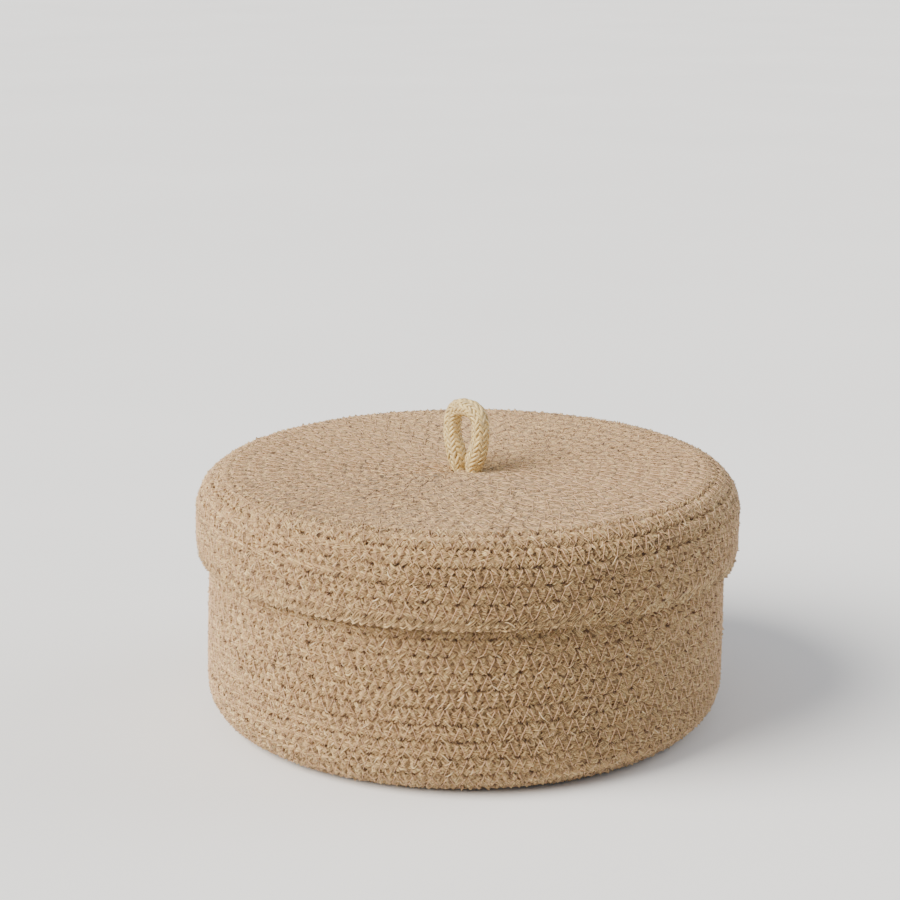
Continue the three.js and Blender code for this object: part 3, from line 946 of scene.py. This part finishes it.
def floor_paper():
    """Matt white paper, as in a photographer's sweep."""
    material, tree = new_material("white_paper")
    places = node(tree, "TexCoord").outputs["Object"]
    mottle = node(tree, "TexNoise", Vector=places, Scale=3.0).outputs["Fac"]
    whites = [(0.3, "#f4f4f4"), (0.7, "#f8f8f8")]
    colour = node(tree, "ValToRGB", stops=whites, Fac=mottle)
    shader = node(tree, "BsdfPrincipled", Base_Color=colour, Roughness=0.9)
    node(tree, "OutputMaterial", Surface=shader)
    return material


# Assembly


def wind(body, winding, material, reaches):
    """The plait in pieces that each stand for one CAD node. reaches gives each node of the
    body and the distance from the centre, along the profile, that its run of plait ends at,
    or math.inf where it goes to the plait's end."""
    yarns = plait_yarns(winding)
    start = 0
    for node_name, reach in reaches.items():
        stop = np.interp(reach / winding.width - 1, winding.turn, winding.length)
        edges = np.linspace(start, stop, math.ceil((stop - start) / PIECE_LENGTH) + 1)
        for k, (low, high) in enumerate(zip(edges[:-1], edges[1:])):
            name = f"{node_name}_plait_{k + 1}"
            piece(name, cut(yarns, low, high), material, body, [node_name])
        start = stop


def sewn_plait(body, winding, reaches, raw, dark, bast, thread):
    """A body's plait with what lies in it and on it."""
    wind(body, winding, raw, reaches)
    fibres = round(winding.length[-1] * FIBRES)
    piece(f"{body}_core", plait_core(winding), dark, body)
    piece(f"{body}_loose_fibres", loose_fibres(winding, fibres), bast, body)
    piece(f"{body}_stitches_outside", zigzag_stitches(winding, 1), thread, body)
    piece(f"{body}_stitches_inside", zigzag_stitches(winding, -1), thread, body)


def dress():
    """Every visible piece of the basket, the lid and the handle."""
    jutes = jute(), shadowed_jute(), bast_fibre(), sewing_thread()
    cord = cotton()
    flat, top = WALL_RADIUS - CORNER, LID_RADIUS - SHOULDER
    bend = flat + math.pi / 2 * (CORNER - THICKNESS / 2)
    reaches = {"basket_base": flat, "basket_corner": bend, "basket_wall": math.inf}
    sewn_plait("basket", Winding(basket_profile(), 1, -math.inf), reaches, *jutes)
    reaches = {"lid_top": top, "lid_skirt": math.inf}
    sewn_plait("lid", Winding(lid_profile(), -1, top), reaches, *jutes)
    braid = braided_cord(loop_route(), (0, 1, 0), root_swell)
    loop = piece("handle_cord", braid, cord, None, ["handle_loop"], CORD_LEAN)
    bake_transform(loop)
    braid = braided_cord(wrap_route(), (0, 0, 1), no_swell)
    piece("handle_knot_cord", braid, cord, "lid", ["handle_knot"], CORD_LEAN)


def towards(azimuth, elevation):
    """The direction from the object to a viewpoint, azimuth degrees round from -Y."""
    a, e = math.radians(azimuth), math.radians(elevation)
    return math.sin(a) * math.cos(e), -math.cos(a) * math.cos(e), math.sin(e)


def studio():
    """A wide white floor, a soft warm key from the upper left, a weaker light from behind and
    a cooler glow from all round."""
    bpy.ops.mesh.primitive_plane_add(size=FLOOR_SIZE, location=(0, 0, -FLOOR_DROP))
    floor = bpy.context.object
    floor.name = "floor"
    floor.data.materials.append(floor_paper())
    world = bpy.data.worlds.new("studio")
    world.use_nodes = True
    glow = world.node_tree.nodes["Background"].inputs
    glow["Color"].default_value = linear(GLOW_COLOUR)
    glow["Strength"].default_value = GLOW_STRENGTH
    bpy.context.scene.world = world
    for name, azimuth, elevation, softness, strength, colour in SUNS:
        light = bpy.data.lights.new(name, "SUN")
        light.angle, light.energy = math.radians(softness), strength
        light.color = linear(colour)[:3]
        lamp = bpy.data.objects.new(name, light)
        back = Vector(towards(CAMERA_AZIMUTH + azimuth, elevation))
        lamp.rotation_euler = back.to_track_quat("Z", "Y").to_euler()
        bpy.context.scene.collection.objects.link(lamp)


def photo_camera():
    """The photograph's viewpoint, direction and field of view."""
    data = bpy.data.cameras.new("camera")
    data.sensor_width = SENSOR_MM
    data.lens = FOCAL_PIXELS / PHOTO_PIXELS * SENSOR_MM
    camera = bpy.data.objects.new("camera", data)
    x, y, z = (CAMERA_DISTANCE * part for part in towards(CAMERA_AZIMUTH, CAMERA_ELEVATION))
    camera.location = x, y, z + CAMERA_TARGET_HEIGHT
    pitch, yaw = math.radians(90 - CAMERA_PITCH), math.radians(CAMERA_AZIMUTH - CAMERA_YAW)
    camera.rotation_euler = (pitch, 0, yaw)
    bpy.context.scene.collection.objects.link(camera)
    bpy.context.scene.camera = camera


photo_camera()
dress()
studio()
